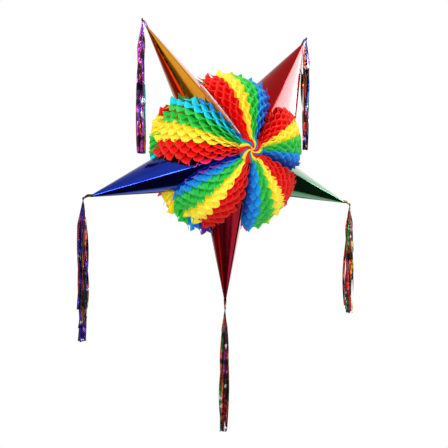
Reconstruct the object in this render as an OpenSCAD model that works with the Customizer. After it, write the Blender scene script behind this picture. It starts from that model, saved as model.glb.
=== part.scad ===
// Star pinata: five foil card points and two honeycomb tissue rosettes on a hollow treat core.
// The star stands in the XZ plane with its front towards -Y.
// The origin is the middle of the hanging eyelet's upper face.

/* [Star] */
// Distance from the middle of the star to the end of each point
point_reach = 300; // [250:5:360]
// Distance from the middle of the star to its front pole, where the tissue meets
pole_depth = 114; // [100:1:137]
// Thickness of the foil card of the points
card_wall = 1.2; // [0.8:0.1:2]
// Distance short of the tip at which a point is cut open for its tassel
tip_cut = 14; // [10:1:20]
// Gap between the core and the inner ends of the points
base_gap = 6; // [5:0.5:9]

/* [Half widths of the points, taken at the middle of the star] */
// Gold point, left side
gold_left = 51; // [42:1:62]
// Gold point, right side
gold_right = 51; // [42:1:62]
// Red point, left side
red_left = 66; // [54:1:70]
// Red point, right side, which is pulled wide open
red_right = 166; // [138:1:180]
// Green point, upper side
green_left = 57; // [47:1:66]
// Green point, lower side
green_right = 74; // [61:1:80]
// Magenta point, right side
magenta_left = 52; // [43:1:62]
// Magenta point, left side
magenta_right = 59; // [49:1:70]
// Blue point, lower side
blue_left = 72; // [60:1:80]
// Blue point, upper side
blue_right = 69; // [57:1:80]

/* [Tissue rosettes] */
// Radius of the rosettes at their rim
rosette_rim = 157; // [130:1:190]
// Radius of the left and right fans, which are fluffed out further
side_rim = 168; // [140:1:172]
// Gap between the front and the back rosette at the rim
rosette_gap = 2; // [1:0.5:6]
// Angle left free on each side of a point's crease
crease_margin = 6; // [3:0.5:9]
// Clearance between tissue and core
tissue_clearance = 0.8; // [0.4:0.1:2]

/* [Treat core] */
// Outer radius of the core
core_radius = 88; // [74:1:106]
// Wall of the core
core_wall = 3; // [2:0.5:5]
// Width of the core's hoop from front to back
hoop_width = 60; // [50:1:72]
// Rise of each dome beyond the hoop
dome_rise = 46; // [38:1:50]
// Width of the paper tape over each seam
tape_width = 18; // [12:1:24]
// Thickness of the paper tape
tape_thick = 0.4; // [0.2:0.1:0.8]

/* [Filling port] */
// Inner radius of the collar that the treats go through
port_radius = 43; // [36:1:50]
// Wall of the collar
collar_wall = 2.5; // [1.5:0.5:4]
// How far the collar reaches into the core
collar_inset = 8; // [5:1:12]
// Overlap of the flap over the collar
flap_lap = 5; // [3:0.5:8]
// Thickness of the flap
flap_thick = 2.4; // [1.5:0.1:4]
// Width of the flap's hinge
hinge_width = 40; // [30:1:50]
// Height of the hinge above the flap
hinge_height = 9; // [7:0.5:12]

/* [Hanging eyelet] */
// Radius of the eyelet's bore, for a rope up to 7 mm thick
eyelet_bore = 4; // [3:0.1:5]
// Wall of the eyelet's barrel
eyelet_wall = 1; // [0.6:0.1:1.5]
// Radius of the eyelet's flanges
eyelet_flange = 9; // [7.5:0.5:11]
// Thickness of each flange
flange_thick = 0.8; // [0.5:0.1:1.2]
// Side of the square plywood plate under the hoop
plate_side = 40; // [32:1:48]
// Thickness of that plate
plate_thick = 5; // [4:0.5:8]

/* [Front knot] */
// Radius of the twisted tissue knot on the front pole
knot_radius = 20; // [14:1:26]
// Thickness of the knot
knot_thick = 10; // [7:1:13]
// Outer radius of the rolled card spine between core and knot
spine_radius = 7; // [5:0.5:9]
// Wall of the spine
spine_wall = 2.5; // [1.5:0.5:3.5]
// Thickness of the white closing cards beside the gold point
closing_card = 1.4; // [1:0.1:2.5]
// Distance from the middle of the star to the end of the closing cards
closing_reach = 152; // [138:1:182]
// How far the closing cards stand proud of the gold point's crease
closing_proud = 2; // [1:0.5:4]

/* [Tassels] */
// Length of the gold point's tassel
gold_tassel_length = 261; // [218:1:313]
// Length of the red point's tassel
red_tassel_length = 237; // [198:1:284]
// Length of the green point's tassel
green_tassel_length = 238; // [198:1:286]
// Length of the magenta point's tassel
magenta_tassel_length = 251; // [209:1:301]
// Length of the blue point's tassel
blue_tassel_length = 270; // [225:1:324]
// Radius of a hanging tassel
tassel_radius = 9; // [7:0.5:11]
// How far a strip bundle stands out of its tip before it bends over
stub_reach = 12; // [9:0.5:16]
// Radius of the bundle where it leaves the tip
stub_radius = 2; // [1.5:0.1:2.4]
// Radius of the bundle where it meets the thread knot
stub_end_radius = 0.8; // [0.6:0.1:1]
// Radius of a tassel where it leaves the thread knot
neck_radius = 0.6; // [0.4:0.05:0.8]
// Radius of the thread knot that each tassel swings on
tie_radius = 3.2; // [2.4:0.1:4]
// Running clearance round each thread knot
tie_clearance = 0.4; // [0.3:0.05:0.8]

/* [Hidden] */

$fn = 64;
side_steps = 9;
arc_steps = 12;
knot_steps = 8;
// A gap that only keeps glued faces apart, and a length beyond anything in the star
sliver = 0.2;
far = 1000;

// Points run clockwise from the gold one, as seen from the front
gold = 0;
red = 1;
green = 2;
magenta = 3;
blue = 4;
point_pitch = 72;
function point_angle(i) = 126 - i * point_pitch;
left_width = [gold_left, red_left, green_left, magenta_left, blue_left];
right_width = [gold_right, red_right, green_right, magenta_right, blue_right];
tassel_length = [gold_tassel_length, red_tassel_length, green_tassel_length,
                 magenta_tassel_length, blue_tassel_length];
point_colours = ["goldenrod", "firebrick", "seagreen", "mediumvioletred", "royalblue"];
tassel_colours = ["mediumorchid", "darkred", "orangered", "steelblue", "indigo"];

// Share of a fan that each tissue colour takes, clockwise, and the gap between colours
tissue_colours = ["red", "gold", "limegreen", "deepskyblue", "rebeccapurple"];
tissue_shares = [0.40, 0.20, 0.25, 0.10, 0.05];
colour_gap = 0.4;
first_share = 0.01;
point_share = 0.7;
function share_before(k) = k == 0 ? 0 : share_before(k - 1) + tissue_shares[k - 1];

// Half of the sector that the red and green points may fill on the side between them
half_pitch = point_pitch / 2;
red_right_sector = 45;
function left_sector(i) = i == green ? point_pitch - red_right_sector : half_pitch;
function right_sector(i) = i == red ? red_right_sector : half_pitch;

// Shifting a cone along its axis moves its surface sideways by about a sixth of the shift
wall_shift = card_wall / sin(atan(gold_left / point_reach));
point_base = core_radius + base_gap;
clearance_shift = 6;

hoop_half = hoop_width / 2;
core_pole = hoop_half + dome_rise;
core_inner = core_radius - core_wall;
crown_half = 20;
eyelet_top = core_radius;
barrel_radius = eyelet_bore + eyelet_wall;
plate_top = sqrt(pow(core_inner, 2) - pow(plate_side / 2, 2)) - sliver;
eyelet_bottom = plate_top - plate_thick - flange_thick;
channel_play = 1;
channel_radius = eyelet_flange + channel_play;
// How far the poles of the domes are pressed flat
pole_press = 0.6;
dome_flat = dome_rise - pole_press;
glue_line = 0.05;

collar_outer = port_radius + collar_wall;
collar_dome_depth = hoop_half + dome_rise * sqrt(1 - pow(collar_outer / core_radius, 2));
collar_start = collar_dome_depth - collar_inset;
collar_set_back = 4;
collar_end = pole_depth - collar_set_back;
collar_gap = 0.1;
flap_gap = 0.3;
flap_front = collar_end + flap_gap;
flap_back = flap_front + flap_thick;
flap_radius = collar_outer + flap_lap;
flap_room = 3;
fan_back_inner = flap_radius + flap_room;
hinge_block = 8;
hinge_play = 1;
pull_width = 10;
pull_length = 24;
pull_thick = 0.8;

knot_proud = 3;
knot_gap = 1;
knot_edge = 2;
knot_base = pole_depth - knot_thick + knot_proud;
fan_front_inner = knot_radius + knot_gap;
spine_top = knot_base - sliver;
card_offset = 4;
card_angle = point_angle(gold) - card_offset;
slot_play = 0.6;
spine_room = 4;

// Drops below the thread at which a tassel has gathered, opened half way and opened fully
gather_drop = 10;
half_drop = 34;
full_drop = 64;
// Height over which its hem draws in, and to what share of its radius
hem_height = 12;
hem_share = 0.7;

pivot_radius = point_reach + stub_reach;
function pivot(i) = [pivot_radius * cos(point_angle(i)), 0,
                     pivot_radius * sin(point_angle(i)) - eyelet_top];

// Places what is drawn in the star's own plane: its Z axis becomes the spine, front up
module on_spine() {
    translate([0, 0, -eyelet_top]) rotate([90, 0, 0]) children();
}

// Section of a point through the middle of the star: two bowed cards that meet at the creases
function side_points(width, side, first, last) =
    [for (k = [first:last]) let (a = 180 * k / side_steps)
        [pole_depth * cos(a), side * width * pow(sin(a), 2)]];
function point_section(i) =
    concat(side_points(left_width[i], 1, 0, side_steps),
           [for (k = [1:side_steps - 1]) side_points(right_width[i], -1, 0, side_steps)[side_steps - k]]);

// A point's outer form, a cone on that section, moved out along its axis by shift
module point_cone(i, shift) {
    rotate([0, 0, point_angle(i)]) translate([shift, 0, 0]) rotate([0, 90, 0])
        linear_extrude(height = point_reach, scale = 0) polygon(point_section(i));
}

// The wedge of room that a point has between its neighbours, grown sideways by a margin
module point_sector(i, start, end, margin) {
    right = tan(right_sector(i));
    left = tan(left_sector(i));
    rotate([0, 0, point_angle(i)]) translate([0, 0, -far / 2]) linear_extrude(height = far) polygon([
        [start, -start * right - margin],
        [end, -end * right - margin],
        [end, end * left + margin],
        [start, start * left + margin]]);
}

// A point's form with a clearance, for the tissue and cards that lie on it
module point_room(i) {
    intersection() {
        point_cone(i, clearance_shift);
        point_sector(i, point_base - 1, point_reach, 1);
    }
}

// Outer outline of one core dome, from its flat pole to the hoop
function dome_arc() = [for (k = [0:arc_steps]) let (a = 90 * (1 - k / arc_steps))
    [core_radius * cos(a), hoop_half + min(dome_rise * sin(a), dome_flat)]];

module point(i) {
    color(point_colours[i]) on_spine() difference() {
        intersection() {
            point_cone(i, 0);
            point_sector(i, point_base, point_reach - tip_cut, 0);
        }
        point_cone(i, -wall_shift);
    }
}

// Outline of a fan's tissue pages, from the rim in to the radius where they stop
outer_start = asin(rosette_gap / 2 / pole_depth);
function page_arc(rim, last) = [for (k = [0:arc_steps])
    let (a = outer_start + (last - outer_start) * k / arc_steps)
    [rim * cos(a), pole_depth * sin(a)]];
core_clear = tape_thick + tissue_clearance;
page_foot = core_pole + core_clear;
page_bore = spine_radius + spine_room;
page_root = [
    [core_radius + core_clear, page_foot],
    [core_radius + core_clear, rosette_gap / 2]];
function fan_rim(i) = i == red || i == blue ? side_rim : rosette_rim;
function front_page(i) = concat(page_arc(fan_rim(i), acos(fan_front_inner / fan_rim(i))), [
    [fan_front_inner, knot_base - knot_gap],
    [page_bore, knot_base - knot_gap],
    [page_bore, page_foot]], page_root);
function back_page(i) = concat(page_arc(fan_rim(i), acos(fan_back_inner / fan_rim(i))), [
    [fan_back_inner, page_foot]], page_root);

// One fan of tissue between point i and the next one clockwise, as five blocks of colour.
// The colours run the same way round as seen from each side of the star.
module fan(i, back) {
    page = back ? back_page(i) : front_page(i);
    first_margin = i == gold ? card_offset : crease_margin;
    span = point_pitch - first_margin - crease_margin;
    start = point_angle(i) - first_margin;
    on_spine() for (k = [0:4]) {
        before = back ? 1 - share_before(k + 1) : share_before(k);
        after = before + tissue_shares[k];
        first = start - span * before - (before < first_share ? 0 : colour_gap / 2);
        last = start - span * after + (after > 1 - first_share ? 0 : colour_gap / 2);
        color(tissue_colours[k]) difference() {
            mirror([0, 0, back ? 1 : 0]) rotate([0, 0, last])
                rotate_extrude(angle = first - last) polygon(page);
            if (before < point_share) point_room(i);
            if (after > 1 - point_share) point_room((i + 1) % 5);
            if (i == gold && before < first_share) closing_slot();
            if (i == gold) hanging_channel(k == 1);
            if (i == gold && back) hinge_room();
        }
    }
}

// Straight way down to the eyelet, between the two rosettes
module hanging_channel(flat) {
    if (flat) translate([-far / 2, 0, -channel_radius]) cube([far, far, 2 * channel_radius]);
    if (!flat) rotate([-90, 0, 0]) cylinder(h = far, r = channel_radius);
}

// Room round the flap's hinge in the upper back fan
module hinge_room() {
    depth = collar_end - hinge_block - 4 * hinge_play;
    translate([-hinge_width / 2 - hinge_play, 0, -far])
        cube([hinge_width + 2 * hinge_play, flap_radius + hinge_height + 2 * hinge_play, far - depth]);
}

// Slab beside the gold point that the closing cards stand in
module closing_slab(thick) {
    rotate([0, 0, card_angle]) translate([0, -thick / 2, -far / 2]) cube([far, thick, far]);
}

module closing_slot() {
    closing_slab(closing_card + slot_play);
}

// White card along the crease of the gold point, where the star is closed into a ring
module closing_card_piece(inner, back) {
    function crease_depth(r) = pole_depth * (1 - r / point_reach);
    color("mistyrose") on_spine() difference() {
        rotate([0, 0, card_angle]) mirror([0, 0, back ? 1 : 0])
            translate([0, closing_card / 2, 0]) rotate([90, 0, 0]) linear_extrude(closing_card)
                polygon([[inner, page_foot],
                         [inner, crease_depth(inner) + closing_proud],
                         [closing_reach, crease_depth(closing_reach) + closing_proud],
                         [closing_reach, hoop_half],
                         [core_radius + core_clear, hoop_half],
                         [core_radius + core_clear, page_foot]]);
        point_cone(gold, clearance_shift);
    }
}

// The strip that is rolled into the hoop, apart from its joined ends
module core_hoop() {
    color("burlywood") on_spine() hoop_arc(90 + crown_half, 360 - 2 * crown_half);
}

// The joined ends of the strip, with a hole and a shallow seat for the eyelet
module core_crown() {
    color("burlywood") on_spine() difference() {
        hoop_arc(90 - crown_half, 2 * crown_half);
        rotate([-90, 0, 0]) cylinder(h = far, r = barrel_radius + sliver);
        translate([0, core_radius - flange_thick, 0])
            rotate([-90, 0, 0]) cylinder(h = far, r = eyelet_flange + sliver);
    }
}

module hoop_arc(start, turn) {
    rotate([0, 0, start]) rotate_extrude(angle = turn)
        translate([core_inner, -hoop_half]) square([core_wall, hoop_width]);
}

module dome_shell() {
    rotate_extrude() polygon(concat(
        [[0, hoop_half + dome_flat]], dome_arc(),
        [for (k = [arc_steps:-1:0]) let (a = 90 * (1 - k / arc_steps))
            [core_inner * cos(a), hoop_half + (dome_rise - core_wall) * sin(a)]]));
}

module core_front_dome() {
    color("tan") on_spine() dome_shell();
}

module core_back_dome() {
    color("tan") on_spine() difference() {
        mirror([0, 0, 1]) dome_shell();
        translate([0, 0, -far]) cylinder(h = far, r = collar_outer + sliver);
    }
}

// Two rings of gummed paper, one over each seam between hoop and dome
module core_seam_tapes() {
    tape_half = tape_width / 2;
    color("peru") on_spine() for (side = [-1, 1]) difference() {
        translate([0, 0, side * (hoop_half - tape_half / 2) - tape_half / 2])
            cylinder(h = tape_half, r = core_radius + tape_thick);
        cylinder(h = far, r = core_radius + glue_line, center = true);
    }
}

// Brass eyelet with a flange on the hoop and one under the plate
module hanging_eyelet() {
    top = eyelet_top;
    color("gold") translate([0, 0, -eyelet_top]) difference() {
        union() {
            translate([0, 0, eyelet_bottom]) cylinder(h = top - eyelet_bottom, r = barrel_radius);
            translate([0, 0, top - flange_thick]) cylinder(h = flange_thick, r = eyelet_flange);
            translate([0, 0, eyelet_bottom]) cylinder(h = flange_thick, r = eyelet_flange);
        }
        translate([0, 0, eyelet_bottom - 1]) cylinder(h = far, r = eyelet_bore);
    }
}

// Plywood plate that spreads the rope's pull, with two edges against the hoop
module hanging_plate() {
    low = plate_top - plate_thick;
    color("sandybrown") translate([0, 0, -eyelet_top]) difference() {
        translate([-plate_side / 2, -plate_side / 2, low]) cube([plate_side, plate_side, plate_thick]);
        translate([0, 0, low - 1]) cylinder(h = far, r = barrel_radius + sliver);
    }
}

module fill_collar() {
    color("burlywood") on_spine() mirror([0, 0, 1]) difference() {
        translate([0, 0, collar_start]) cylinder(h = collar_end - collar_start, r = collar_outer);
        cylinder(h = far, r = port_radius);
    }
}

module fill_flap() {
    color("orchid") on_spine() mirror([0, 0, 1])
        translate([0, 0, flap_front]) cylinder(h = flap_thick, r = flap_radius);
}

// Card block on the collar and the cloth tape that the flap folds on
module flap_hinge() {
    fold_top = flap_radius + flap_gap;
    color("slategray") on_spine() mirror([0, 0, 1]) difference() {
        union() {
            translate([-hinge_width / 2, port_radius, collar_end - hinge_block])
                cube([hinge_width, flap_radius + hinge_height - port_radius, hinge_block]);
            translate([-hinge_width / 2, fold_top, collar_end - 1])
                cube([hinge_width, flap_radius + hinge_height - fold_top, flap_back - collar_end + 1]);
        }
        cylinder(h = far, r = collar_outer + collar_gap);
    }
}

// Ribbon on the flap's lower edge for pulling it open
module flap_pull() {
    color("hotpink") on_spine() mirror([0, 0, 1])
        translate([-pull_width / 2, -flap_radius - pull_length / 2, flap_back])
            cube([pull_width, pull_length, pull_thick]);
}

module front_spine() {
    start = core_pole - pole_press;
    color("white") on_spine() difference() {
        translate([0, 0, start]) cylinder(h = spine_top - start, r = spine_radius);
        cylinder(h = far, r = spine_radius - spine_wall);
    }
}

// Low dome of twisted tissue that ties the pages together on the front pole
module front_knot() {
    color("orange") on_spine() translate([0, 0, knot_base]) rotate_extrude() polygon(concat(
        [[0, 0]],
        [for (k = [0:knot_steps]) let (a = 90 * k / knot_steps)
            [knot_radius * cos(a), knot_edge + (knot_thick - knot_edge) * sin(a)]]));
}

// Gathered foil strips between the cut tip and the thread knot
module stub(i) {
    start = point_reach - tip_cut + sliver;
    end = pivot_radius - tie_radius - tie_clearance;
    color("dimgray") on_spine() rotate([0, 0, point_angle(i)]) translate([start, 0, 0])
        rotate([0, 90, 0]) cylinder(h = end - start, r1 = stub_radius, r2 = stub_end_radius);
}

// Thread knot round the strips, where they fold over and swing
module tie(i) {
    color("black") translate(pivot(i)) sphere(r = tie_radius);
}

// The hanging strips as one slim spindle
module tassel(i) {
    length = tassel_length[i];
    neck = tie_radius + tie_clearance;
    color(tassel_colours[i]) translate(pivot(i)) rotate_extrude() polygon([
        [0, -neck],
        [neck_radius, -neck],
        [neck_radius + 1, -neck - gather_drop],
        [tassel_radius / 2, -half_drop],
        [tassel_radius, -full_drop],
        [tassel_radius, hem_height - length],
        [tassel_radius * hem_share, -length],
        [0, -length]]);
}

core_hoop();
core_crown();
core_front_dome();
core_back_dome();
core_seam_tapes();
hanging_eyelet();
hanging_plate();
fill_collar();
fill_flap();
flap_hinge();
flap_pull();
front_spine();
front_knot();
closing_card_piece(fan_front_inner, false);  // front_closing_card
closing_card_piece(fan_back_inner, true);  // back_closing_card
fan(gold, false);  // front_fan_top
fan(red, false);  // front_fan_right
fan(green, false);  // front_fan_lower_right
fan(magenta, false);  // front_fan_lower_left
fan(blue, false);  // front_fan_left
fan(gold, true);  // back_fan_top
fan(red, true);  // back_fan_right
fan(green, true);  // back_fan_lower_right
fan(magenta, true);  // back_fan_lower_left
fan(blue, true);  // back_fan_left
point(gold);  // gold_point
point(red);  // red_point
point(green);  // green_point
point(magenta);  // magenta_point
point(blue);  // blue_point
stub(gold);  // gold_stub
stub(red);  // red_stub
stub(green);  // green_stub
stub(magenta);  // magenta_stub
stub(blue);  // blue_stub
tie(gold);  // gold_tie
tie(red);  // red_tie
tie(green);  // green_tie
tie(magenta);  // magenta_tie
tie(blue);  // blue_tie
tassel(gold);  // gold_tassel
tassel(red);  // red_tassel
tassel(green);  // green_tassel
tassel(magenta);  // magenta_tassel
tassel(blue);  // blue_tassel
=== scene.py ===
# Star pinata: foil card points, honeycomb tissue rosettes, treat core, filling flap and foil tassels.
import math
import random

import bpy
import numpy as np
from mathutils import Matrix, Vector, noise


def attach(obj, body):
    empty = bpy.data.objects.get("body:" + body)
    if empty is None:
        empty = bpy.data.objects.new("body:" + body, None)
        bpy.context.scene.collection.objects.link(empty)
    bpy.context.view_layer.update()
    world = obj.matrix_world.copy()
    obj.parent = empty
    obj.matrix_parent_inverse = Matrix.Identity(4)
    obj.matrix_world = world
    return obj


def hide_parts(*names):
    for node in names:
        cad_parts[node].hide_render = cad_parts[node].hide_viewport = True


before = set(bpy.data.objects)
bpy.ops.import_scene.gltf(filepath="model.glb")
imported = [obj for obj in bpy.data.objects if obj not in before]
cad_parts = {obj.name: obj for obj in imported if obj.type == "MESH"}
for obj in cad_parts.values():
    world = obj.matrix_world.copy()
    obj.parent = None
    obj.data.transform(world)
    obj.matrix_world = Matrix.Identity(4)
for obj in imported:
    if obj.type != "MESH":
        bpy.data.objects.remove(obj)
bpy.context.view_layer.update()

# ---------------------------------------------------------------------------------------------
# Camera: a long lens, level, 25 degrees to the left of the star's front and below its middle.
# The eyelet's top is the origin, and the middle of the star hangs below it.
# ---------------------------------------------------------------------------------------------
eyelet_height = 0.088
reach = 0.300
middle = Vector((0.0, 0.0, -eyelet_height))

view_turn = math.radians(25.0)
view_roll = math.radians(0.6)
look = Matrix.Rotation(view_roll, 3, "Y") @ Matrix.Rotation(view_turn, 3, "Z")
# Where the middle of the star lies: right of the lens, ahead of it and above it
star_in_view = Vector((0.018, 5.73, 0.471)) * reach
camera = bpy.data.objects.new("camera", bpy.data.cameras.new("camera"))
bpy.context.scene.collection.objects.link(camera)
camera.data.sensor_width = 36.0
camera.data.lens = 68.2
eye = middle - look.transposed() @ star_in_view
right, ahead, up = look.row[0], look.row[1], look.row[2]
camera.matrix_world = Matrix((
    (right.x, up.x, -ahead.x, eye.x),
    (right.y, up.y, -ahead.y, eye.y),
    (right.z, up.z, -ahead.z, eye.z),
    (0.0, 0.0, 0.0, 1.0)))
bpy.context.scene.camera = camera
bpy.context.scene.view_settings.view_transform = "Standard"


# ---------------------------------------------------------------------------------------------
# Studio: a white surround with soft boxes and a red wall, three soft lamps and a plain floor.
# The dark gaps between the boxes give the mirror foil something to show.
# ---------------------------------------------------------------------------------------------
def add(tree, kind, *inputs, **settings):
    """Adds a node. Inputs are values, sockets or nodes, whose first output is used."""
    node = tree.nodes.new(kind)
    for name, value in settings.items():
        setattr(node, name, value)
    for socket, value in zip([s for s in node.inputs if s.enabled], inputs):
        if isinstance(value, bpy.types.Node):
            tree.links.new([s for s in value.outputs if s.enabled][0], socket)
        elif isinstance(value, bpy.types.NodeSocket):
            tree.links.new(value, socket)
        elif value is not None:
            socket.default_value = value
    return node


world = bpy.data.worlds.new("studio")
bpy.context.scene.world = world
world.use_nodes = True
sky = world.node_tree
sky.nodes.clear()
direction = add(sky, "ShaderNodeTexCoord").outputs["Generated"]
# Each box: direction it hangs in, cosine where it starts and where it is full, brightness added
soft_boxes = [
    ((-0.95, -0.17, -0.20), 0.965, 0.985, 0.72),
    ((-0.80, 0.49, -0.36), 0.994, 0.999, 1.1),
    ((0.975, 0.08, 0.18), 0.955, 0.985, 11.5),
    ((0.90, 0.42, 0.13), 0.972, 0.990, 8.0),
    ((0.75, 0.58, 0.36), 0.945, 0.980, 0.5),
    ((0.48, 0.50, -0.72), 0.955, 0.975, 0.75),
    ((-0.83, -0.29, -0.48), 0.994, 0.999, 1.0),
    ((0.80, 0.57, -0.15), 0.970, 0.990, 1.1),
    ((0.56, 0.83, -0.06), 0.985, 0.996, 1.2),
    ((-0.41, -0.26, 0.87), 0.930, 1.000, 0.2),
]
# The surround is dark below and light above
height = add(sky, "ShaderNodeSeparateXYZ", direction).outputs["Z"]
brightness = add(sky, "ShaderNodeMapRange", height, -0.6, 0.3, 0.03, 0.60,
                 interpolation_type="SMOOTHSTEP")
for towards, start, full, strength in soft_boxes:
    facing = add(sky, "ShaderNodeVectorMath", direction, Vector(towards).normalized(),
                 operation="DOT_PRODUCT")
    shape = add(sky, "ShaderNodeMapRange", facing.outputs["Value"], start, full, 0.0, strength,
                interpolation_type="SMOOTHSTEP")
    brightness = add(sky, "ShaderNodeMath", shape, brightness, operation="ADD")
# A red wall low behind the left side
wall_facing = add(sky, "ShaderNodeVectorMath", direction, Vector((-0.60, 0.73, -0.29)).normalized(),
                  operation="DOT_PRODUCT")
wall_share = add(sky, "ShaderNodeMapRange", wall_facing.outputs["Value"], 0.86, 0.94, 0.0, 1.0)
wall_tint = add(sky, "ShaderNodeMix", wall_share, (1.0, 1.0, 1.0, 1.0), (1.0, 0.10, 0.04, 1.0),
                data_type="RGBA")
seen = add(sky, "ShaderNodeLightPath")
in_mirror = add(sky, "ShaderNodeBackground", wall_tint, brightness)
on_matt = add(sky, "ShaderNodeBackground", (1.0, 0.99, 0.98, 1.0), 0.75)
behind = add(sky, "ShaderNodeBackground", (1.0, 1.0, 1.0, 1.0), 1.0)
not_seen = add(sky, "ShaderNodeMixShader", seen.outputs["Is Glossy Ray"], on_matt, in_mirror)
surround = add(sky, "ShaderNodeMixShader", seen.outputs["Is Camera Ray"], not_seen, behind)
add(sky, "ShaderNodeOutputWorld", surround)


def lamp(name, place, size, power):
    """A round soft lamp that points at the middle of the star."""
    light = bpy.data.lights.new(name, "AREA")
    light.shape = "DISK"
    light.size = size
    light.energy = power
    holder = bpy.data.objects.new(name, light)
    bpy.context.scene.collection.objects.link(holder)
    holder.location = place
    holder.rotation_euler = (middle - Vector(place)).to_track_quat("-Z", "Y").to_euler()
    return holder


lamp("key_lamp", (-1.6, -2.2, 1.5), 1.2, 55)
lamp("fill_lamp", (2.0, -1.8, 0.2), 1.6, 16)
lamp("back_lamp", (0.0, 2.0, 1.6), 2.0, 30).visible_glossy = False

# A plain white floor well below the tassels, as bright as the surround and seen only directly
floor_drop = 1.9
floor_half = 3.0
floor_corners = [(x * floor_half, y * floor_half, middle.z - floor_drop)
                 for x, y in ((-1, -1), (1, -1), (1, 1), (-1, 1))]
floor_mesh = bpy.data.meshes.new("studio_floor")
floor_mesh.from_pydata(floor_corners, [], [(0, 1, 2, 3)])
floor_paint = bpy.data.materials.new("white_studio_floor")
floor_paint.use_nodes = True
floor_paint.node_tree.nodes.clear()
floor_glow = add(floor_paint.node_tree, "ShaderNodeEmission", (1.0, 1.0, 1.0, 1.0), 1.0)
add(floor_paint.node_tree, "ShaderNodeOutputMaterial", floor_glow)
floor_mesh.materials.append(floor_paint)
floor = bpy.data.objects.new("studio_floor", floor_mesh)
bpy.context.scene.collection.objects.link(floor)
floor.visible_glossy = False
floor.visible_diffuse = False
floor.visible_transmission = False

# ---------------------------------------------------------------------------------------------
# Core, filling port, eyelet and spine keep their CAD form under real finishes.
# Each finish mixes two shades in patches of a real size and raises a fine grain.
# ---------------------------------------------------------------------------------------------
def linear(code):
    """An sRGB hex colour as linear RGBA."""
    parts = [int(code[i:i + 2], 16) / 255 for i in (0, 2, 4)]
    return [c / 12.92 if c <= 0.04045 else ((c + 0.055) / 1.055) ** 2.4 for c in parts] + [1.0]


finishes = {
    # Two shades, patches across one metre, grain across one metre, roughness, metallic, grain height
    "chipboard": ("a8835a", "8c6842", 60, 900, 0.85, 0.0, 0.00025),
    "kraft_tape": ("9c6e3c", "86592c", 120, 1500, 0.6, 0.0, 0.0001),
    "brass_eyelet": ("c9a04c", "b28938", 200, 2500, 0.3, 1.0, 0.00003),
    "plywood": ("d2aa74", "b98c56", 45, 700, 0.7, 0.0, 0.0002),
    "flap_card": ("d8509a", "c8408a", 40, 1200, 0.55, 0.0, 0.0001),
    "hinge_tape": ("4c535c", "3c424a", 300, 1800, 0.9, 0.0, 0.0003),
    "ribbon": ("ec3c8c", "d42c7c", 250, 2600, 0.4, 0.0, 0.0001),
    "white_card": ("fbf1f0", "f4e2e4", 50, 1400, 0.7, 0.0, 0.0001)}
paints = {}
for name, (code, shade, patches_per_metre, grain_per_metre, rough, metal, height) in finishes.items():
    paint = bpy.data.materials.new(name + "_finish")
    paint.use_nodes = True
    tree = paint.node_tree
    shader = tree.nodes["Principled BSDF"]
    shader.inputs["Roughness"].default_value = rough
    shader.inputs["Metallic"].default_value = metal
    place = add(tree, "ShaderNodeTexCoord").outputs["Object"]
    patches = add(tree, "ShaderNodeTexNoise", place, float(patches_per_metre), 3.0, noise_dimensions="3D")
    mixed = add(tree, "ShaderNodeMix", patches.outputs["Fac"], linear(code), linear(shade), data_type="RGBA")
    tree.links.new(mixed.outputs["Result"], shader.inputs["Base Color"])
    grain = add(tree, "ShaderNodeTexNoise", place, float(grain_per_metre), 2.0, noise_dimensions="3D")
    bump = add(tree, "ShaderNodeBump", 0.6, height)
    tree.links.new(grain.outputs["Fac"], bump.inputs["Height"])
    tree.links.new(bump.outputs["Normal"], shader.inputs["Normal"])
    paints[name] = paint
finish_of = {"core_hoop": "chipboard", "core_crown": "chipboard", "core_front_dome": "chipboard",
             "core_back_dome": "chipboard", "fill_collar": "chipboard", "front_spine": "chipboard",
             "core_seam_tapes": "kraft_tape", "hanging_eyelet": "brass_eyelet", "hanging_plate": "plywood",
             "fill_flap": "flap_card", "flap_hinge": "hinge_tape", "flap_pull": "ribbon"}
for node_name, finish in finish_of.items():
    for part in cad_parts[node_name].material_slots:
        part.link = "OBJECT"
        part.material = paints[finish]

# ---------------------------------------------------------------------------------------------
# Foil points: five pods, each two bowed half cards glued along a front and a back crease.
# The card is laminated with coloured mirror film, and it ends on the treat core under the tissue.
# ---------------------------------------------------------------------------------------------
pole_depth = 0.114
card_thickness = 0.0009
point_names = ["gold", "red", "green", "magenta", "blue"]
point_angles = [math.radians(126 - 72 * i) for i in range(5)]
# Half width of each side at the middle of the star: anticlockwise side, clockwise side
half_widths = {"gold": (0.051, 0.051), "red": (0.066, 0.166), "green": (0.057, 0.074),
               "magenta": (0.052, 0.059), "blue": (0.072, 0.069)}
# How far round from the point's own line each side may reach, in degrees
sectors = {"gold": (36, 36), "red": (36, 45), "green": (27, 36), "magenta": (36, 36), "blue": (36, 36)}
# The treat core: its radius, half the height of its hoop, and its depth at the poles
core_radius, hoop_half, core_pole = 0.0895, 0.030, 0.0775
# Room kept round the front knot and the filling flap
knot_radius, flap_radius = 0.021, 0.0535


def outside_core(r, depth):
    """True where a point at radius r and that depth from the middle plane is clear of the core."""
    dome = np.maximum(np.abs(depth) - hoop_half, 0) / (core_pole - hoop_half)
    return (r / core_radius) ** 2 + dome ** 2 > 1


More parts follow.
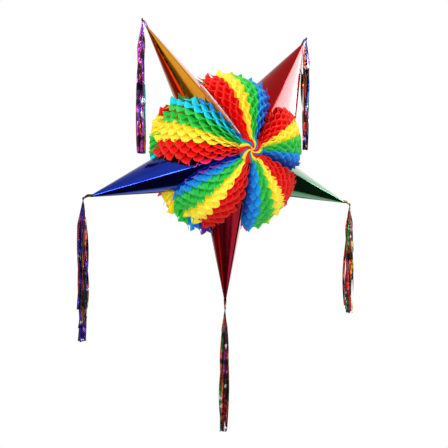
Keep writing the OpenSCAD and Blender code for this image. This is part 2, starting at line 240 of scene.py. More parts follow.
def foil(name, code, shade, film_index):
    """Mirror film on card: coloured metal under a clear coat that glares white at a low angle."""
    paint = bpy.data.materials.new(name)
    paint.use_nodes = True
    tree = paint.node_tree
    shader = tree.nodes["Principled BSDF"]
    shader.inputs["Metallic"].default_value = 1.0
    shader.inputs["Coat Weight"].default_value = 1.0
    shader.inputs["Coat Roughness"].default_value = 0.04
    shader.inputs["Coat IOR"].default_value = film_index
    place = add(tree, "ShaderNodeTexCoord").outputs["Object"]
    # Ink laid down in a slightly uneven film, in patches of about 40 mm
    patches = add(tree, "ShaderNodeTexNoise", place, 25.0, 2.0, noise_dimensions="3D")
    ink = add(tree, "ShaderNodeMix", patches.outputs["Fac"], linear(shade), linear(code), data_type="RGBA")
    tree.links.new(ink.outputs["Result"], shader.inputs["Base Color"])
    # Handling haze makes the mirror a little duller in places
    haze = add(tree, "ShaderNodeTexNoise", place, 60.0, 3.0, noise_dimensions="3D")
    dull = add(tree, "ShaderNodeMapRange", haze.outputs["Fac"], 0.3, 0.7, 0.06, 0.16)
    tree.links.new(dull.outputs["Result"], shader.inputs["Roughness"])
    # Orange-peel of the lamination, about 6 mm from crest to crest
    peel = add(tree, "ShaderNodeTexNoise", place, 160.0, 1.0, noise_dimensions="3D")
    bump = add(tree, "ShaderNodeBump", 0.06, 0.001)
    tree.links.new(peel.outputs["Fac"], bump.inputs["Height"])
    tree.links.new(bump.outputs["Normal"], shader.inputs["Normal"])
    return paint


def mesh_piece(name, points, faces, paint, smooth=True):
    """A mesh object at the origin with one material."""
    mesh = bpy.data.meshes.new(name)
    mesh.from_pydata([tuple(p) for p in points], [], faces)
    mesh.materials.append(paint)
    mesh.polygons.foreach_set("use_smooth", [smooth] * len(mesh.polygons))
    piece = bpy.data.objects.new(name, mesh)
    bpy.context.scene.collection.objects.link(piece)
    return piece


# Two shades of each film, and the refractive index of its clear coat
foil_colours = {"gold": ("f0a010", "d88a06", 1.30), "red": ("c40a0e", "ae060a", 1.15),
                "green": ("1c9a58", "14804a", 1.40), "magenta": ("a80628", "90041e", 1.20),
                "blue": ("1436b8", "0e2aa0", 1.20)}
rings = 44
side_steps = 28
# The share of a point's length that is cut off at its tip, the share of its width that a buckle may
# take, and the depth of its dents at the base
tip_cut, buckle, dent_depth = 0.008, 0.012, 0.0012
for number, name in enumerate(point_names):
    axis = Vector((math.cos(point_angles[number]), 0, math.sin(point_angles[number])))
    across = Vector((-axis.z, 0, axis.x))
    left, right_side = half_widths[name]
    left_sector, right_sector = (math.tan(math.radians(a)) for a in sectors[name])
    rng = random.Random(40 + number)
    swell = [(rng.uniform(-1, 1), rng.uniform(0, 6.28)) for k in range(4)]
    shell = []
    for step in range(2 * side_steps):
        turn = math.pi * step / side_steps
        on_left = step <= side_steps
        width = left if on_left else -right_side
        bow = math.sin(turn) ** 2
        # Long soft buckles that run from the tip, as in any card that is bowed by hand
        ripple = sum(a * math.sin((2 + k) * turn + p) for k, (a, p) in enumerate(swell)) * buckle * bow
        base_across = width * (bow + ripple)
        base_depth = pole_depth * math.cos(turn)
        # How far down from the tip this line of the card may run
        ends = np.linspace(0.05, 1.0, 400)
        r_axis = reach * (1 - ends)
        r_all = np.hypot(r_axis, base_across * ends)
        depth = base_depth * ends
        clear = outside_core(r_all, depth)
        clear &= ~((depth > 0) & (r_all < knot_radius))
        clear &= ~((depth < -hoop_half) & (r_all < flap_radius))
        limit = left_sector if on_left else right_sector
        clear &= np.abs(base_across) * ends <= r_axis * limit + 1e-9
        stop = ends[clear].max()
        line = []
        for ring in range(rings + 1):
            s = tip_cut + (stop - tip_cut) * (ring / rings)
            dent = noise.noise(Vector((s * 3, turn, number * 7))) * dent_depth * s
            sideways = base_across * s + math.copysign(dent, base_across)
            place = middle + axis * reach * (1 - s) + across * sideways
            place.y = -base_depth * s
            line.append(place)
        shell.append(line)
    points = [p for line in shell for p in line]
    faces = []
    for step in range(2 * side_steps):
        following = (step + 1) % (2 * side_steps)
        for ring in range(rings):
            a, b = step * (rings + 1) + ring, following * (rings + 1) + ring
            faces.append((a, a + 1, b + 1, b))
    paint = foil(name + "_mirror_foil_card", *foil_colours[name])
    pod = mesh_piece(name + "_foil_point", points, faces, paint)
    for edge in pod.data.edges:
        steps = {v // (rings + 1) for v in edge.vertices}
        if len(steps) == 1 and steps <= {0, side_steps}:
            edge.use_edge_sharp = True
    wall = pod.modifiers.new("card", "SOLIDIFY")
    wall.thickness = card_thickness
    wall.offset = -1
    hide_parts(name + "_point")
    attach(pod, "star")

# ---------------------------------------------------------------------------------------------
# Tissue rosettes: five fans in front and five behind, each of fourteen pages glued in a honeycomb.
# The pages lean one way in staggered scallops, so that they overlap like fish scales.
# ---------------------------------------------------------------------------------------------
rosette_rim = 0.157
page_count = 14
# Outside of the collar that the treats go through
collar_radius = 0.0455
# The colour of each page of a front fan, clockwise as seen from the front
page_colours = ["cc0a0a", "ee0a08", "e60a06", "ee100a", "ea0a08", "fff04a", "fff25c", "ffe630",
                "44dc58", "26c84c", "34d45c", "10a8f0", "128ee0", "1a48b0"]
# The left fans have turquoise, pink and a lighter blue instead, and the lower left ones purple
own_colours = {"left": {"10a8f0": "18e2f6", "128ee0": "18e2f6", "cc0a0a": "f02472", "1a48b0": "1c8cd8"},
               "lower_left": {"1a48b0": "6c36a8"}}

honeycomb = bpy.data.node_groups.new("honeycomb_fan", "GeometryNodeTree")
face = honeycomb.interface
face.new_socket("Geometry", in_out="OUTPUT", socket_type="NodeSocketGeometry")
face.new_socket("Pages", in_out="INPUT", socket_type="NodeSocketGeometry")
# A fan's sizes: its outer curve, its inner curve on the core, where its pages end, and its scallops
page_sizes = {"Rim radius": rosette_rim, "Pole depth": pole_depth, "Inner radius": core_radius + 0.002,
              "Inner depth": core_pole + 0.002, "Pole angle": 1.44, "Lean": 0.1,
              "Waves per radian": 33.0, "Side": 1.0, "Rim spike": 0.07, "Ruffle": 0.003,
              "Least radius": 0.0, "Middle height": -eyelet_height}
page_inputs = {}
for label, value in page_sizes.items():
    socket = face.new_socket(label, in_out="INPUT", socket_type="NodeSocketFloat")
    socket.default_value = value
    page_inputs[label] = socket.identifier
socket = face.new_socket("Tissue", in_out="INPUT", socket_type="NodeSocketMaterial")
page_inputs["Tissue"] = socket.identifier
given = add(honeycomb, "NodeGroupInput").outputs
# One flat page, with how far along the rim (u) and how far in (h) each vertex lies
grid = add(honeycomb, "GeometryNodeMeshGrid", 1.0, 1.0, 112, 9)
spread = add(honeycomb, "ShaderNodeSeparateXYZ", add(honeycomb, "GeometryNodeInputPosition"))
along = add(honeycomb, "ShaderNodeMath", spread.outputs["X"], 0.5, operation="ADD")
inward = add(honeycomb, "ShaderNodeMath", spread.outputs["Y"], 0.5, operation="ADD")
page = add(honeycomb, "GeometryNodeStoreNamedAttribute", grid, True, "u", along,
           data_type="FLOAT", domain="POINT")
page = add(honeycomb, "GeometryNodeStoreNamedAttribute", page, True, "h", inward,
           data_type="FLOAT", domain="POINT")
copies = add(honeycomb, "GeometryNodeInstanceOnPoints", given["Pages"], True, page)
sheets = add(honeycomb, "GeometryNodeRealizeInstances", copies)
terms = {name: add(honeycomb, "GeometryNodeInputNamedAttribute", name, data_type="FLOAT").outputs["Attribute"]
         for name in ("u", "h", "page_angle", "rim_angle", "fullness", "phase")}
terms.update({label: given[label] for label in page_inputs})
# The shape of a page, one sum a row
for name, operation, first, second in (
        ("reach", "SUBTRACT", "Pole angle", "rim_angle"),
        ("rise", "MULTIPLY", "reach", "u"),
        ("phi", "ADD", "rim_angle", "rise"),
        ("cos", "COSINE", "phi", 0.0),
        ("sin", "SINE", "phi", 0.0),
        ("from_rim", "SUBTRACT", 1.0, "u"),
        ("corner", "POWER", "from_rim", 34.0),
        ("spike", "MULTIPLY", "corner", "Rim spike"),
        ("swell", "ADD", "fullness", "spike"),
        ("turn", "MULTIPLY", "phi", "Waves per radian"),
        ("turn_here", "ADD", "turn", "phase"),
        ("half_turn", "MULTIPLY", "turn_here", 0.5),
        ("lobe_wave", "COSINE", "half_turn", 0.0),
        ("lobe_width", "ABSOLUTE", "lobe_wave", 0.0),
        ("lobe", "POWER", "lobe_width", 0.42),
        ("notch", "SUBTRACT", 1.0, "lobe"),
        ("dip", "MULTIPLY", "notch", 0.065),
        ("swell_here", "SUBTRACT", "swell", "dip"),
        ("outer_r", "MULTIPLY", "Rim radius", "cos"),
        ("outer_r_full", "MULTIPLY", "outer_r", "swell"),
        ("outer_d", "MULTIPLY", "Pole depth", "sin"),
        ("outer_d_full", "MULTIPLY", "outer_d", "swell"),
        ("inner_r", "MULTIPLY", "Inner radius", "cos"),
        ("inner_d", "MULTIPLY", "Inner depth", "sin"),
        ("drop_r", "SUBTRACT", "inner_r", "outer_r_full"),
        ("drop_d", "SUBTRACT", "inner_d", "outer_d_full"),
        ("drop_r_here", "MULTIPLY", "drop_r", "h"),
        ("drop_d_here", "MULTIPLY", "drop_d", "h"),
        ("r_free", "ADD", "outer_r_full", "drop_r_here"),
        ("r", "MAXIMUM", "r_free", "Least radius"),
        ("depth", "ADD", "outer_d_full", "drop_d_here"),
        ("outward", "SUBTRACT", 1.0, "h"),
        ("bend", "POWER", "outward", 3.0),
        ("lobe_bend", "MULTIPLY", "lobe", "bend"),
        ("sway", "MULTIPLY", "lobe_bend", "Lean"),
        ("theta", "ADD", "page_angle", "sway"),
        ("cos_theta", "COSINE", "theta", 0.0),
        ("sin_theta", "SINE", "theta", 0.0),
        ("x", "MULTIPLY", "r", "cos_theta"),
        ("y", "MULTIPLY", "depth", "Side"),
        ("z_flat", "MULTIPLY", "r", "sin_theta"),
        ("z", "ADD", "z_flat", "Middle height"),
        ("edge", "POWER", "outward", 3.0),
        ("ruffle_here", "MULTIPLY", "edge", "Ruffle")):
    terms[name] = add(honeycomb, "ShaderNodeMath", terms.get(first, first), terms.get(second, second),
                      operation=operation)
target = add(honeycomb, "ShaderNodeCombineXYZ", terms["x"], terms["y"], terms["z"])
opened = add(honeycomb, "GeometryNodeSetPosition", sheets, True, target)
# Creased edges: a crumple about 7 mm from crest to crest that dies out towards the core
crumple = add(honeycomb, "ShaderNodeTexNoise", add(honeycomb, "GeometryNodeInputPosition"), 140.0, 2.0,
              noise_dimensions="3D").outputs["Color"]
centred = add(honeycomb, "ShaderNodeVectorMath", crumple, (0.5, 0.5, 0.5), operation="SUBTRACT")
shove = add(honeycomb, "ShaderNodeVectorMath", centred, operation="SCALE")
honeycomb.links.new(terms["ruffle_here"].outputs[0], shove.inputs["Scale"])
crumpled = add(honeycomb, "GeometryNodeSetPosition", opened, True)
honeycomb.links.new(shove.outputs[0], crumpled.inputs["Offset"])
smooth = add(honeycomb, "GeometryNodeSetShadeSmooth", crumpled, True, True)
painted = add(honeycomb, "GeometryNodeSetMaterial", smooth, True, given["Tissue"])
add(honeycomb, "NodeGroupOutput", painted)

tissue = bpy.data.materials.new("dyed_tissue_paper")
tissue.use_nodes = True
tree = tissue.node_tree
shader = tree.nodes["Principled BSDF"]
shader.inputs["Roughness"].default_value = 0.72
shader.inputs["Specular IOR Level"].default_value = 0.25
tint = add(tree, "ShaderNodeAttribute", attribute_name="tint")
# Painted highlight: the outer twelfth of a page is painted paler and warmer, as if its torn and cut edges
# caught the light
depth_in = add(tree, "ShaderNodeAttribute", attribute_name="h")
painted_edge_highlight = add(tree, "ShaderNodeMapRange", depth_in.outputs["Fac"], 0.0, 0.08, 0.07, 0.0)
lit = add(tree, "ShaderNodeMix", painted_edge_highlight, tint.outputs["Color"], (1.0, 0.75, 0.55, 1.0), data_type="RGBA")
place = add(tree, "ShaderNodeTexCoord").outputs["Object"]
# Fibres 2 mm long and wrinkles 5 mm apart
fibres = add(tree, "ShaderNodeTexNoise", place, 500.0, 3.0, noise_dimensions="3D")
wrinkles = add(tree, "ShaderNodeTexNoise", place, 200.0, 2.0, noise_dimensions="3D")
relief = add(tree, "ShaderNodeMath", fibres.outputs["Fac"], wrinkles.outputs["Fac"], operation="ADD")
bump = add(tree, "ShaderNodeBump", 0.35, 0.0006)
tree.links.new(relief.outputs[0], bump.inputs["Height"])
tree.links.new(bump.outputs["Normal"], shader.inputs["Normal"])
lit_colour = lit.outputs["Result"]
tree.links.new(lit_colour, shader.inputs["Base Color"])
# Light comes through the thin sheet and fills the cells with its colour, helped by a painted glow
glow = add(tree, "ShaderNodeBsdfTranslucent", lit_colour)
# Painted glow: the tissue also emits a fifth of its own colour, which lightens the shade between the pages
tree.links.new(lit_colour, shader.inputs["Emission Color"])
shader.inputs["Emission Strength"].default_value = 0.20
through = add(tree, "ShaderNodeMixShader", 0.35, shader, glow)
tree.links.new(through.outputs[0], tree.nodes["Material Output"].inputs["Surface"])


# The angle of arc at which a page starts beside the middle plane, where no card is in its way
page_start = 0.012


def rim_angle(theta, side_names):
    """The lowest angle of the page's arc at which its edge clears the cards of these points."""
    lowest = page_start
    for name in side_names:
        number = point_names.index(name)
        offset = (theta - point_angles[number] + math.pi) % (2 * math.pi) - math.pi
        width = half_widths[name][0] if offset > 0 else half_widths[name][1]
        if abs(offset) > math.radians(sectors[name][0 if offset > 0 else 1]):
            continue
        for phi in np.linspace(page_start, 1.4, 300):
            r, depth = rosette_rim * math.cos(phi), pole_depth * math.sin(phi)
            shrink = 1 - r * math.cos(offset) / reach
            card = width * shrink * (1 - (depth / (pole_depth * shrink)) ** 2)
            if abs(r * math.sin(offset)) < card:
                lowest = max(lowest, phi)
    return lowest


# How far each fan is fluffed out: at its first page, in its middle and at its last page
fan_fullness = {
    "front_top": (0.93, 1.01, 0.98), "front_right": (0.92, 1.04, 0.94),
    "front_lower_right": (1.02, 1.02, 0.86), "front_lower_left": (0.93, 0.95, 0.86),
    "front_left": (0.93, 0.98, 1.03),
    "back_top": (0.92, 0.97, 0.92), "back_right": (0.95, 1.01, 0.95),
    "back_lower_right": (0.92, 1.0, 0.92), "back_lower_left": (0.96, 1.04, 0.97),
    "back_left": (1.0, 1.03, 0.78)}
fan_sides = ["top", "right", "lower_right", "lower_left", "left"]
for front in (True, False):
    for number, side_name in enumerate(fan_sides):
        rng = random.Random(100 + number + (0 if front else 10))
        fullness = fan_fullness[("front_" if front else "back_") + side_name]
        # The top fans start beside the closing cards, and the left ones end just past the gold point
        first_margin = math.radians(9.0 if side_name == "top" else 6.0)
        last_margin = math.radians(-2.5 if side_name == "left" else 1.0)
        start = point_angles[number] - first_margin
        span = math.radians(72) - first_margin - last_margin
        pages = bpy.data.meshes.new("pages")
        pages.from_pydata([(0, 0, 0)] * page_count, [], [])
        for layer in ("page_angle", "rim_angle", "fullness", "phase"):
            pages.attributes.new(layer, "FLOAT", "POINT")
        pages.attributes.new("tint", "FLOAT_COLOR", "POINT")
        layers = {layer.name: layer.data for layer in pages.attributes}
        for k in range(page_count):
            share = (k + 0.5) / page_count
            theta = start - span * share
            neighbours = (point_names[number], point_names[(number + 1) % 5])
            across = 2 * share - 1
            edge_fullness = fullness[0] if across < 0 else fullness[2]
            layers["page_angle"][k].value = theta + rng.uniform(-0.006, 0.006)
            layers["rim_angle"][k].value = rim_angle(theta, neighbours)
            layers["fullness"][k].value = (fullness[1] + (edge_fullness - fullness[1]) * abs(across) ** 3
                                           + rng.uniform(-0.012, 0.012))
            layers["phase"][k].value = math.pi * (k % 2) + rng.uniform(-0.3, 0.3)
            # Behind, the colours run back from the next point, and one fan has fewer red pages
            from_next = page_count - 1 - k + (3 if side_name == "lower_left" else 0)
            code = page_colours[k if front else min(page_count - 1, from_next)]
            code = own_colours.get(side_name, {}).get(code, code)
            fade = rng.uniform(0.92, 1.08)
            layers["tint"][k].color = [min(1.0, c * fade) for c in linear(code)[:3]] + [1.0]
        fan_name = ("front" if front else "back") + "_fan_" + side_name
        seed_object = bpy.data.objects.new(fan_name + "_pages", pages)
        bpy.context.scene.collection.objects.link(seed_object)
        maker = seed_object.modifiers.new("honeycomb", "NODES")
        maker.node_group = honeycomb
        fan_sizes = dict(page_sizes)
        fan_sizes["Lean"] = span / page_count * 1.85
        if side_name in ("left", "right"):
            fan_sizes["Rim spike"] = 0.05
        if front:
            fan_sizes["Side"] = -1.0
        else:
            # The back pages stop at the wall of the filling collar, under the edge of the flap
            fan_sizes["Pole angle"] = math.acos(flap_radius / rosette_rim)
            fan_sizes["Least radius"] = collar_radius + 0.0005
        for label, value in fan_sizes.items():
            maker[page_inputs[label]] = value
        maker[page_inputs["Tissue"]] = tissue
        bpy.context.view_layer.update()
        made = seed_object.evaluated_get(bpy.context.evaluated_depsgraph_get())
        fan = bpy.data.objects.new("tissue_" + fan_name, bpy.data.meshes.new_from_object(made))
        bpy.context.scene.collection.objects.link(fan)
        bpy.data.objects.remove(seed_object)
        sheet_wall = fan.modifiers.new("sheet", "SOLIDIFY")
        sheet_wall.thickness = 0.0002
        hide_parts(fan_name)
        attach(fan, "star")


# ---------------------------------------------------------------------------------------------
# Front knot: the inner ends of the pages, pulled together on the front pole and given a twist.
# Every fan sends in five folded tails in its own colours, and they turn clockwise as they close.
# ---------------------------------------------------------------------------------------------
def tube(path, widths, flatness, sides=10):
    """Points and faces of a closed tube along a path, pressed flat towards the front."""
    points, faces = [], []
    for k, (centre, width) in enumerate(zip(path, widths)):
        tangent = (path[min(k + 1, len(path) - 1)] - path[max(k - 1, 0)]).normalized()
        side = tangent.cross(Vector((0, -1, 0))).normalized()
        lift = side.cross(tangent)
        for j in range(sides):
            a = 2 * math.pi * j / sides
            points.append(centre + side * (width * math.cos(a)) + lift * (width * flatness * math.sin(a)))
    for k in range(len(path) - 1):
        for j in range(sides):
            a, b = k * sides + j, k * sides + (j + 1) % sides
            faces.append((a, b, b + sides, a + sides))
    faces.append(tuple(reversed(range(sides))))
    faces.append(tuple(range((len(path) - 1) * sides, len(path) * sides)))
    return points, faces


points, faces, tail_tints = [], [], []
rng = random.Random(7)
# Degrees clockwise from the point at which a fan starts, and the colour of the tail
tails = [(9, "d8120c"), (23, "ee1a10"), (40, "ffe04a"), (55, "34c456"), (67, "1c70c0")]
# Where the tails leave the pages: their distance from the pole's line and from the middle plane
tail_root, tail_depth = 0.0235, 0.1075
tail_steps = 24
for number in range(5):
    for k, (offset, code) in enumerate(tails):
        start = point_angles[number] - math.radians(offset) + rng.uniform(-0.08, 0.08)
        sweep = rng.uniform(0.9, 1.4)
        # The yellow tails lie on top of their neighbours
        proud = rng.uniform(-0.0012, 0.0012) + 0.0012 * (code == "ffe04a")
        path, widths = [], []
        for step in range(tail_steps + 1):
            t = step / tail_steps
            r = tail_root * (1 - t) ** 0.95 + 0.0006
            a = start - sweep * t ** 1.5
            swollen = 0.0060 * math.sin(t * math.pi / 2) - 0.004 * max(0.0, t - 0.8)
            depth = tail_depth + proud * (1 - t) + swollen
            path.append(middle + Vector((r * math.cos(a), -depth, r * math.sin(a))))
            widths.append(0.0031 * (1 - t) ** 0.75 + 0.0007 + 0.0003 * math.sin(11 * t + 2 * k))
        new_points, new_faces = tube(path, widths, 0.75)
        faces += [tuple(v + len(points) for v in f) for f in new_faces]
        points += new_points
        tail_tints += [linear(code)] * len(new_points)
knot = mesh_piece("twisted_tissue_knot", points, faces, tissue)
tint_layer = knot.data.attributes.new("tint", "FLOAT_COLOR", "POINT").data
tint_layer.foreach_set("color", np.array(tail_tints).ravel())
# Half way in from the pages' cut edges, so that the tails get none of the painted edge highlight
inside = knot.data.attributes.new("h", "FLOAT", "POINT").data
inside.foreach_set("value", [0.5] * len(points))
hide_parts("front_knot")
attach(knot, "star")

# ---------------------------------------------------------------------------------------------
# Tassels: bundles of twisted metallic film strips, knotted with thread just beyond each tip.
# Every strip has its own length, twist, colour and place in the bundle.
# ---------------------------------------------------------------------------------------------
strips = bpy.data.node_groups.new("foil_tassel", "GeometryNodeTree")
face = strips.interface
face.new_socket("Geometry", in_out="OUTPUT", socket_type="NodeSocketGeometry")
face.new_socket("Strips", in_out="INPUT", socket_type="NodeSocketGeometry")
# Gather is how soon the strips spread below the knot: fully at one part in five of their length
strip_sizes = {"Strip width": 0.0050, "Knot drop": 0.0025, "Gather": 5.0}
strip_inputs = {}
for label, value in strip_sizes.items():
    socket = face.new_socket(label, in_out="INPUT", socket_type="NodeSocketFloat")
    socket.default_value = value
    strip_inputs[label] = socket.identifier
socket = face.new_socket("Pivot", in_out="INPUT", socket_type="NodeSocketVector")
strip_inputs["Pivot"] = socket.identifier
socket = face.new_socket("Film", in_out="INPUT", socket_type="NodeSocketMaterial")
strip_inputs["Film"] = socket.identifier
given = add(strips, "NodeGroupInput").outputs
grid = add(strips, "GeometryNodeMeshGrid", 1.0, 1.0, 90, 3)
spread = add(strips, "ShaderNodeSeparateXYZ", add(strips, "GeometryNodeInputPosition"))
along = add(strips, "ShaderNodeMath", spread.outputs["X"], 0.5, operation="ADD")
strip = add(strips, "GeometryNodeStoreNamedAttribute", grid, True, "u", along,
            data_type="FLOAT", domain="POINT")
strip = add(strips, "GeometryNodeStoreNamedAttribute", strip, True, "v", spread.outputs["Y"],
            data_type="FLOAT", domain="POINT")
copies = add(strips, "GeometryNodeInstanceOnPoints", given["Strips"], True, strip)
ribbons = add(strips, "GeometryNodeRealizeInstances", copies)
terms = {name: add(strips, "GeometryNodeInputNamedAttribute", name, data_type="FLOAT").outputs["Attribute"]
         for name in ("u", "v", "round", "spread", "length", "twist", "phase")}
terms.update({label: given[label] for label in strip_sizes})
# The hang of a strip, one sum a row
for name, operation, first, second in (
        ("fall", "MULTIPLY", "length", "u"),
        ("drop", "ADD", "fall", "Knot drop"),
        ("z", "MULTIPLY", "drop", -1.0),
        ("open", "MULTIPLY", "Gather", "u"),
        ("opened", "MINIMUM", "open", 1.0),
        ("wander", "MULTIPLY_ADD", "u", 5.0),
        ("wave", "SINE", "wander", 0.0),
        ("wave_small", "MULTIPLY", "wave", 0.3),
        ("wave_one", "ADD", "wave_small", 0.8),
        ("radius_full", "MULTIPLY", "spread", "wave_one"),
        ("radius", "MULTIPLY", "radius_full", "opened"),
        ("swing", "MULTIPLY", "wave", 0.4),
        ("angle", "ADD", "round", "swing"),
        ("cos_angle", "COSINE", "angle", 0.0),
        ("sin_angle", "SINE", "angle", 0.0),
        ("x_middle", "MULTIPLY", "radius", "cos_angle"),
        ("y_middle", "MULTIPLY", "radius", "sin_angle"),
        ("turned", "MULTIPLY", "twist", "u"),
        ("facing", "ADD", "turned", "phase"),
        ("cos_facing", "COSINE", "facing", 0.0),
        ("sin_facing", "SINE", "facing", 0.0),
        ("narrow", "MULTIPLY", "opened", 0.7),
        ("wide_part", "ADD", "narrow", 0.3),
        ("width", "MULTIPLY", "wide_part", "Strip width"),
        ("across", "MULTIPLY", "width", "v"),
        ("x_across", "MULTIPLY", "across", "cos_facing"),
        ("y_across", "MULTIPLY", "across", "sin_facing"),
        ("x", "ADD", "x_middle", "x_across"),
        ("y", "ADD", "y_middle", "y_across")):
    terms[name] = add(strips, "ShaderNodeMath", terms.get(first, first), terms.get(second, second),
                      operation=operation)
strips.links.new(terms["phase"], terms["wander"].inputs[2])
target = add(strips, "ShaderNodeCombineXYZ", terms["x"], terms["y"], terms["z"])
target = add(strips, "ShaderNodeVectorMath", target, given["Pivot"], operation="ADD")
hung = add(strips, "GeometryNodeSetPosition", ribbons, True, target)
smooth = add(strips, "GeometryNodeSetShadeSmooth", hung, True, True)
painted = add(strips, "GeometryNodeSetMaterial", smooth, True, given["Film"])
add(strips, "NodeGroupOutput", painted)

film = bpy.data.materials.new("metallised_film")
film.use_nodes = True
tree = film.node_tree
shader = tree.nodes["Principled BSDF"]
shader.inputs["Metallic"].default_value = 0.8
shader.inputs["Coat Weight"].default_value = 0.6
shader.inputs["Coat Roughness"].default_value = 0.08
place = add(tree, "ShaderNodeTexCoord").outputs["Object"]
tint = add(tree, "ShaderNodeAttribute", attribute_name="tint")
# Rubbed film: duller patches about 12 mm long
rubbed = add(tree, "ShaderNodeTexNoise", place, 80.0, 2.0, noise_dimensions="3D")
dull = add(tree, "ShaderNodeMapRange", rubbed.outputs["Fac"], 0.35, 0.65, 0.12, 0.34)
tree.links.new(dull.outputs["Result"], shader.inputs["Roughness"])
# Crinkles about 20 mm apart, so that each strip flashes light and dark along its length
crinkle = add(tree, "ShaderNodeTexNoise", place, 52.0, 1.0, noise_dimensions="3D")
bump = add(tree, "ShaderNodeBump", 1.0, 0.008)
tree.links.new(crinkle.outputs["Fac"], bump.inputs["Height"])
tree.links.new(bump.outputs["Normal"], shader.inputs["Normal"])
# Painted reflections: black patches about 26 mm across stand in for dark surroundings mirrored in the
# twisted strips, and near-white silver painted on the crests of the crinkles stands in for glints
dark_reflection_noise = add(tree, "ShaderNodeTexNoise", place, 38.0, 1.0, noise_dimensions="3D")
painted_dark_reflection = add(tree, "ShaderNodeMapRange", dark_reflection_noise.outputs["Fac"], 0.53, 0.59, 0.0, 0.92)
# Painted glint: near-white silver painted on the crests of the crinkles
painted_glint = add(tree, "ShaderNodeMapRange", crinkle.outputs["Fac"], 0.66, 0.70, 0.0, 0.9)
tint_with_dark_reflection = add(tree, "ShaderNodeMix", painted_dark_reflection, tint.outputs["Color"], linear("120c12"), data_type="RGBA")
tint_with_glint = add(tree, "ShaderNodeMix", painted_glint, tint_with_dark_reflection, linear("f4eef0"), data_type="RGBA")
tree.links.new(tint_with_glint.outputs["Result"], shader.inputs["Base Color"])

thread = bpy.data.materials.new("waxed_thread")
thread.use_nodes = True
tree = thread.node_tree
shader = tree.nodes["Principled BSDF"]
shader.inputs["Roughness"].default_value = 0.55
place = add(tree, "ShaderNodeTexCoord").outputs["Object"]
# Plies of the thread, 0.5 mm apart
plies = add(tree, "ShaderNodeTexNoise", place, 2000.0, 1.0, noise_dimensions="3D")
worn = add(tree, "ShaderNodeMix", plies.outputs["Fac"], linear("16161a"), linear("3a3840"),
           data_type="RGBA")
tree.links.new(worn.outputs["Result"], shader.inputs["Base Color"])

# Length of each tassel, and its strip colours with the commonest first
tassels = {
    "gold": (0.261, ["c43cb4", "9038c8", "18121c", "d84aa4", "f8c020", "20a0b0", "2a60d8", "f07020"]),
    "red": (0.237, ["b01818", "18121a", "e8782a", "8c1214", "2a62d0", "38b464", "18121a", "d84020"]),
    "green": (0.238, ["e8481e", "18141c", "2a62cc", "c01a1c", "f8c424", "2ca85a", "8a1418", "18121a"]),
    "magenta": (0.251, ["a8141c", "18141c", "6e0c14", "24a456", "ec741e", "c82a1c", "6a7894", "8430b4"]),
    "blue": (0.270, ["18141c", "3c1a9c", "c87a28", "3010a0", "8a1418", "18141c", "d05a1e", "5624b4"])}
strip_count = 22
# The strips leave the cut tip inside the card and turn down at the knot, beyond the tip
root_reach = 0.287
pivot_reach = 0.312
root_count = 7
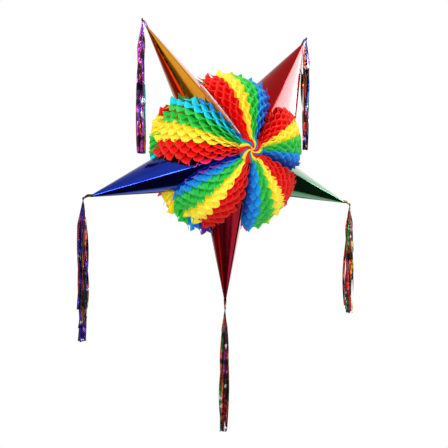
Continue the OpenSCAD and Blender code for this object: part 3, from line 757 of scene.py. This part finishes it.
# The wound thread: its radius and half its height
wrap_radius, wrap_half = 0.0019, 0.0031
for number, name in enumerate(point_names):
    rng = random.Random(200 + number)
    length, codes = tassels[name]
    axis = Vector((math.cos(point_angles[number]), 0, math.sin(point_angles[number])))
    pivot = middle + axis * pivot_reach
    seeds = bpy.data.meshes.new("strips")
    seeds.from_pydata([(0, 0, 0)] * strip_count, [], [])
    for layer in ("round", "spread", "length", "twist", "phase"):
        seeds.attributes.new(layer, "FLOAT", "POINT")
    seeds.attributes.new("tint", "FLOAT_COLOR", "POINT")
    layers = {layer.name: layer.data for layer in seeds.attributes}
    shares = [((k + 0.5) / strip_count) ** 1.3 for k in range(strip_count)]
    strip_codes = [codes[int(share * len(codes))] for share in shares]
    rng.shuffle(strip_codes)
    for k in range(strip_count):
        layers["round"][k].value = rng.uniform(0, 2 * math.pi)
        # Every seventh strip stands further out than the bundle
        layers["spread"][k].value = 0.0084 * math.sqrt(rng.random()) * (1.3 if k % 7 == 0 else 1.0)
        layers["length"][k].value = length * (1 - 0.35 * rng.random() ** 3) - 0.004
        layers["twist"][k].value = rng.choice((-1, 1)) * rng.uniform(2, 9)
        layers["phase"][k].value = rng.uniform(0, 2 * math.pi)
        layers["tint"][k].color = linear(strip_codes[k])
    seed_object = bpy.data.objects.new(name + "_strips", seeds)
    bpy.context.scene.collection.objects.link(seed_object)
    maker = seed_object.modifiers.new("strips", "NODES")
    maker.node_group = strips
    for label, value in strip_sizes.items():
        maker[strip_inputs[label]] = value
    maker[strip_inputs["Pivot"]] = tuple(pivot)
    maker[strip_inputs["Film"]] = film
    bpy.context.view_layer.update()
    made = seed_object.evaluated_get(bpy.context.evaluated_depsgraph_get())
    hanging = bpy.data.objects.new(name + "_hanging_strips", bpy.data.meshes.new_from_object(made))
    bpy.context.scene.collection.objects.link(hanging)
    bpy.data.objects.remove(seed_object)
    gauge = hanging.modifiers.new("film", "SOLIDIFY")
    gauge.thickness = 0.00008
    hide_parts(name + "_tassel")
    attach(hanging, name + "_tassel")

    # The strips' roots come out of the cut tip side by side and arch over towards the knot
    points, faces, root_tints = [], [], []
    across = Vector((-axis.z, 0, axis.x))
    for k in range(root_count):
        lean = 2 * k / (root_count - 1) - 1
        path, widths = [], []
        for step in range(9):
            t = step / 8
            along_axis = root_reach + (pivot_reach - root_reach) * t
            bow = math.sin(math.pi * t) * 0.0012
            arch = (math.sin(math.pi * t ** 1.6) ** 2) * 0.0028
            sideways = lean * 0.0011 * (1 - 0.6 * t) + bow * lean
            backwards = (0.0009 * math.cos(2.4 * k) + bow * math.sin(3 * k)) * (1 - 0.5 * t)
            path.append(middle + axis * along_axis + across * sideways + Vector((0, backwards, arch)))
            widths.append(0.0011 - 0.0003 * t)
        new_points, new_faces = tube(path, widths, 0.35, 6)
        faces += [tuple(v + len(points) for v in f) for f in new_faces]
        points += new_points
        root_tints += [linear(codes[k % len(codes)])] * len(new_points)
    roots = mesh_piece(name + "_strip_roots", points, faces, film)
    tint_layer = roots.data.attributes.new("tint", "FLOAT_COLOR", "POINT").data
    tint_layer.foreach_set("color", np.array(root_tints).ravel())
    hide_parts(name + "_stub")
    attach(roots, "star")

    # Thread wound six times round the bundle
    points, faces = [tuple(pivot + Vector((0, 0, wrap_half)))], []
    rows, turns = 30, 20
    for row in range(1, rows):
        a = math.pi * row / rows
        r = wrap_radius * math.sin(a) ** 0.6 * (0.93 + 0.07 * math.cos(12 * a))
        for j in range(turns):
            b = 2 * math.pi * j / turns
            points.append(tuple(pivot + Vector((r * math.cos(b), r * math.sin(b), wrap_half * math.cos(a)))))
    points.append(tuple(pivot - Vector((0, 0, wrap_half))))
    for j in range(turns):
        following = (j + 1) % turns
        faces.append((0, 1 + j, 1 + following))
        for row in range(rows - 2):
            a = 1 + row * turns
            faces.append((a + j, a + turns + j, a + turns + following, a + following))
        a = 1 + (rows - 2) * turns
        faces.append((a + following, a + j, len(points) - 1))
    wrap = mesh_piece(name + "_thread_wrap", points, faces, thread)
    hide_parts(name + "_tie")
    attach(wrap, name + "_tie")

# ---------------------------------------------------------------------------------------------
# Closing cards: white card strips beside the gold point's creases, where the star is joined up.
# Each stands on the foil and tapers to a rounded outer end.
# ---------------------------------------------------------------------------------------------
# The cards' angle from the gold point's line
card_turn = math.radians(4.0)
# Half the thickness of a card, how far it reaches into the foil and how far it stands out of it
card_half, card_foot, card_stand = 0.0007, 0.002, 0.009
stations = 60
card_line = point_angles[0] - card_turn
card_axis = Vector((math.cos(card_line), 0, math.sin(card_line)))
card_across = Vector((-card_axis.z, 0, card_axis.x))
for front in (True, False):
    inner, outer = (0.038 if front else 0.055), 0.152
    outline = []
    for k in range(stations + 1):
        t = k / stations
        r = inner + (outer - inner) * t
        shrink = 1 - r * math.cos(card_turn) / reach
        lateral = r * math.sin(card_turn)
        foot = pole_depth * shrink * math.sqrt(max(0.0, 1 - lateral / (half_widths["gold"][1] * shrink)))
        crest = min(pole_depth * (1 - r / reach) + card_foot, foot + card_stand)
        crest -= (crest - foot) * max(0.0, (t - 0.93) / 0.07) ** 2
        outline.append((r, foot - card_foot, crest))
    points, faces = [], []
    for r, foot, crest in outline:
        for side in (-card_half, card_half):
            for depth in (foot, crest):
                spot = middle + card_axis * r + card_across * side
                points.append((spot.x, -depth if front else depth, spot.z))
    for k in range(stations):
        a, b = 4 * k, 4 * k + 4
        faces += [(a, a + 1, b + 1, b), (a + 1, a + 3, b + 3, b + 1)]
        faces += [(a + 3, a + 2, b + 2, b + 3), (a + 2, a, b, b + 2)]
    faces += [(0, 2, 3, 1), (4 * stations, 4 * stations + 1, 4 * stations + 3, 4 * stations + 2)]
    if not front:
        faces = [tuple(reversed(f)) for f in faces]
    side_name = "front" if front else "back"
    strip_card = mesh_piece(side_name + "_white_closing_card", points, faces, paints["white_card"],
                            smooth=False)
    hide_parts(side_name + "_closing_card")
    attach(strip_card, "star")
